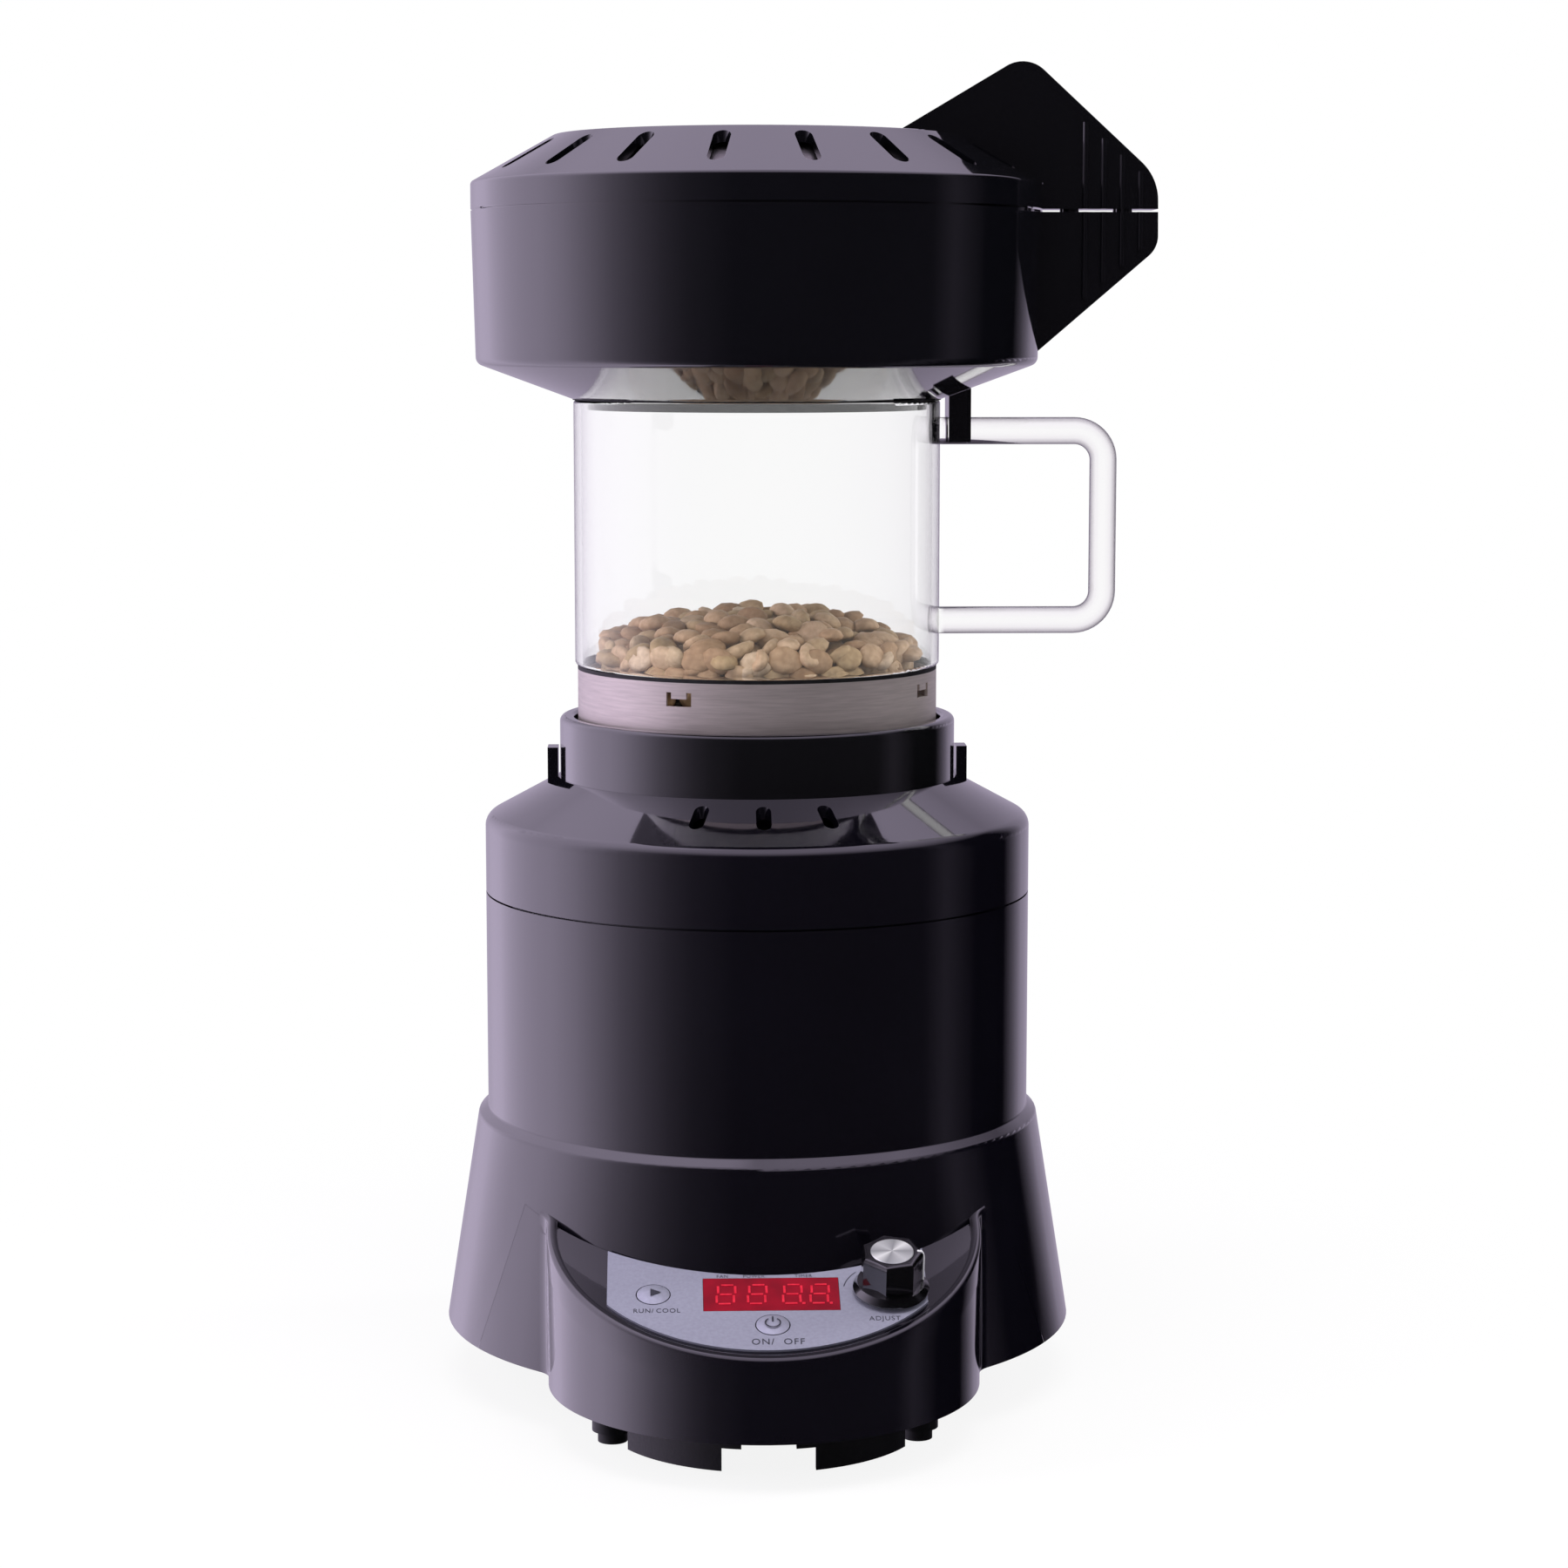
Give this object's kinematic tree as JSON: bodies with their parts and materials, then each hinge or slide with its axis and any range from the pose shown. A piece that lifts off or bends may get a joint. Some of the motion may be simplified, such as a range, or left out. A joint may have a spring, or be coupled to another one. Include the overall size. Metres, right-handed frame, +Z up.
{
  "type": "home coffee bean roaster",
  "caption": "Countertop hot-air coffee bean roaster: round base with a sloping control panel, lift-out glass chamber with a loop handle, and a chaff collector with a slotted lid.",
  "frame": {"origin": "on the table, under the axis that the body, chamber and collector share", "axes": "+Z up along the chamber's axis, -Y towards the control panel, +X towards the handles"},
  "size_m": [0.1952, 0.2063, 0.3602],
  "materials": {
    "housing_black": "moulded gloss",
    "collar_black": "moulded gloss",
    "collector_black": "moulded gloss",
    "handle_black": "moulded satin gloss",
    "overlay_silver": "printed film",
    "window_red": "clear red acrylic",
    "electronics": "moulded",
    "board_green": "coated board",
    "button_silver": "embossed film",
    "knob_black": "moulded",
    "knob_disc": "spun",
    "pointer_white": "filled line",
    "shaft_steel": "turned",
    "plate_black": "moulded fine texture",
    "foot_rubber": "moulded",
    "motor_steel": "plated",
    "bush_brass": "sintered",
    "fan_plastic": "moulded",
    "screw_steel": "plated",
    "heater_steel": "rolled",
    "mica": "pressed sheet",
    "coil_wire": "drawn",
    "silicone": "moulded",
    "dark_gasket": "moulded",
    "heat_sink": "extruded",
    "glass_clear": "blown borosilicate",
    "ring_steel": "brushed",
    "green_beans": "unroasted",
    "screen_steel": "woven"
  },
  "bodies": {
    "base": {"main_housing": "housing_black", "top_housing": "housing_black", "chamber_collar": "collar_black", "front_bezel": "housing_black", "control_overlay": "overlay_silver", "display_window": "window_red", "display_module": "electronics", "panel_board": "board_green", "button_switches": "electronics", "encoder_body": "electronics", "bottom_plate": "plate_black", "leg_posts": "plate_black", "rubber_feet": "foot_rubber", "front_guards": "plate_black", "blower_motor": "motor_steel", "motor_bush": "bush_brass", "fan_plate": "plate_black", "air_funnel": "plate_black", "funnel_screws": "screw_steel", "heater_tube": "heater_steel", "mica_cross": "mica", "heater_coil": "coil_wire", "seat_gasket": "silicone", "thermostat": "electronics", "thermal_fuse": "electronics", "power_board": "board_green", "heat_sink": "heat_sink", "board_posts": "plate_black", "board_screws": "screw_steel", "cord_gland": "plate_black"},
    "chamber": {"chamber_glass": "glass_clear", "chamber_ring": "ring_steel", "ring_gasket": "dark_gasket", "diffuser_plate": "ring_steel", "bean_charge": "green_beans"},
    "collector": {"collector_bowl": "collector_black", "collector_seal": "dark_gasket", "collector_chimney": "collector_black", "chimney_cap": "collector_black", "collector_handle": "handle_black", "handle_clip": "handle_black"},
    "lid": {"collector_lid": "collector_black", "lid_screen": "screen_steel", "lid_handle": "handle_black"},
    "knob_press": {"encoder_plunger": "electronics"},
    "knob_turn": {"encoder_shaft": "shaft_steel", "adjust_knob": "knob_black", "knob_cap": "knob_disc", "knob_pointer": "pointer_white"},
    "run_key": {"run_button": "button_silver"},
    "power_key": {"power_button": "button_silver"},
    "fan_rotor": {"fan_shaft": "shaft_steel", "fan_impeller": "fan_plastic"}
  },
  "joints": [
    {"name": "chamber_lift", "type": "slide", "parent": "base", "child": "chamber", "axis": [0, 0, 1], "range_m": [0, 0.06]},
    {"name": "collector_lift", "type": "slide", "parent": "chamber", "child": "collector", "axis": [0, 0, 1], "range_m": [0, 0.04]},
    {"name": "lid_lift", "type": "slide", "parent": "collector", "child": "lid", "axis": [0, 0, 1], "range_m": [0, 0.04]},
    {"name": "knob_push", "type": "slide", "parent": "base", "child": "knob_press", "axis": [0, 0.3338, -0.9426], "range_m": [0, 0.0005], "stiffness_N_per_m": 3000, "springref_m": -0.0005},
    {"name": "knob_spin", "type": "hinge", "parent": "knob_press", "child": "knob_turn", "pos_m": [0.0317, -0.08925, 0.04358], "axis": [0, -0.3338, 0.9426], "continuous": true},
    {"name": "run_push", "type": "slide", "parent": "base", "child": "run_key", "axis": [0, 0.3338, -0.9426], "range_m": [0, 0.0004], "stiffness_N_per_m": 2500, "springref_m": -0.0004},
    {"name": "power_push", "type": "slide", "parent": "base", "child": "power_key", "axis": [0, 0.3338, -0.9426], "range_m": [0, 0.0004], "stiffness_N_per_m": 2500, "springref_m": -0.0004},
    {"name": "fan_spin", "type": "hinge", "parent": "base", "child": "fan_rotor", "pos_m": [0, 0, 0.08], "axis": [0, 0, 1], "continuous": true}
  ]
}
